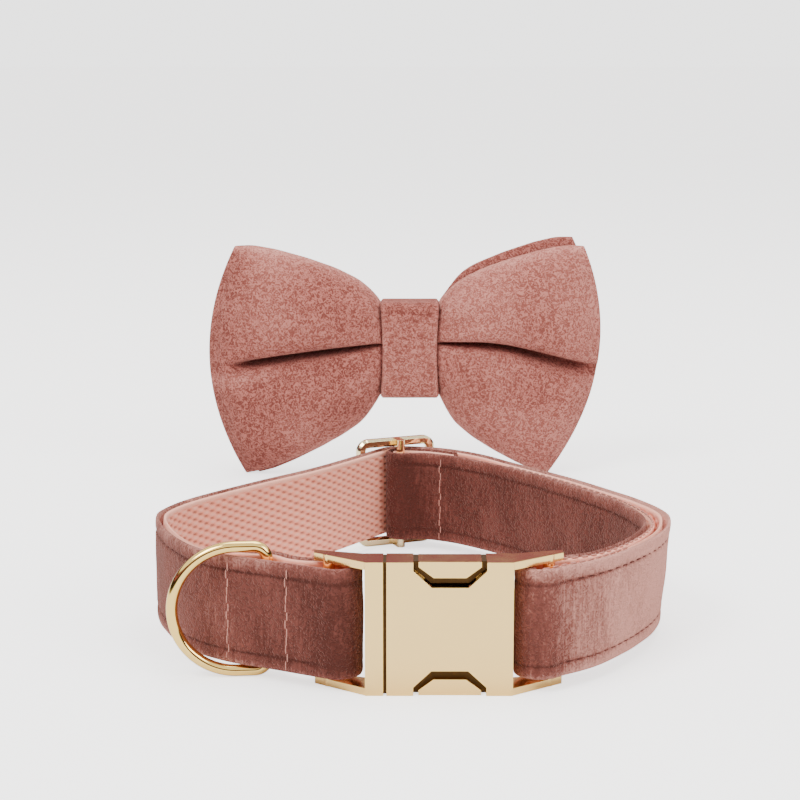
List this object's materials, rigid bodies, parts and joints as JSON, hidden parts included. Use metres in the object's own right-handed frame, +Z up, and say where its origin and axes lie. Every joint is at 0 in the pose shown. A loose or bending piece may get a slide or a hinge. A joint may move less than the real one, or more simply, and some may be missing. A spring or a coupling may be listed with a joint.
{
  "type": "pet bow tie collar",
  "caption": "Velvet pet collar fastened into a loop with a gold side-release buckle, D-ring and slide, and its velvet bow tie standing behind it.",
  "frame": {"origin": "under the middle of the whole set's box, on the surface that it stands on", "axes": "+Z up, -Y the way the buckle's and the bow's fronts face, +X to the right seen from the front"},
  "size_m": [0.1294, 0.2444, 0.0792],
  "materials": {
    "webbing": "woven pink webbing",
    "velvet": "dusty-rose velvet pile",
    "gold_metal": "polished light gold plating",
    "elastic": "knitted elastic band"
  },
  "bodies": {
    "collar_and_bow": {"strap_webbing": "webbing", "strap_velvet": "velvet", "buckle_tongue": "gold_metal", "buckle_socket": "gold_metal", "slide_adjuster": "gold_metal", "bow_front": "velvet", "bow_back": "velvet", "bow_knot": "velvet", "bow_strap_loop": "elastic"},
    "ring": {"d_ring": "gold_metal"}
  },
  "joints": [
    {"name": "d_ring_swing", "type": "hinge", "parent": "collar_and_bow", "child": "ring", "pos_m": [-0.03059, -0.10803, 0.0157], "axis": [0, 0, 1], "range_deg": [0, 118]}
  ]
}
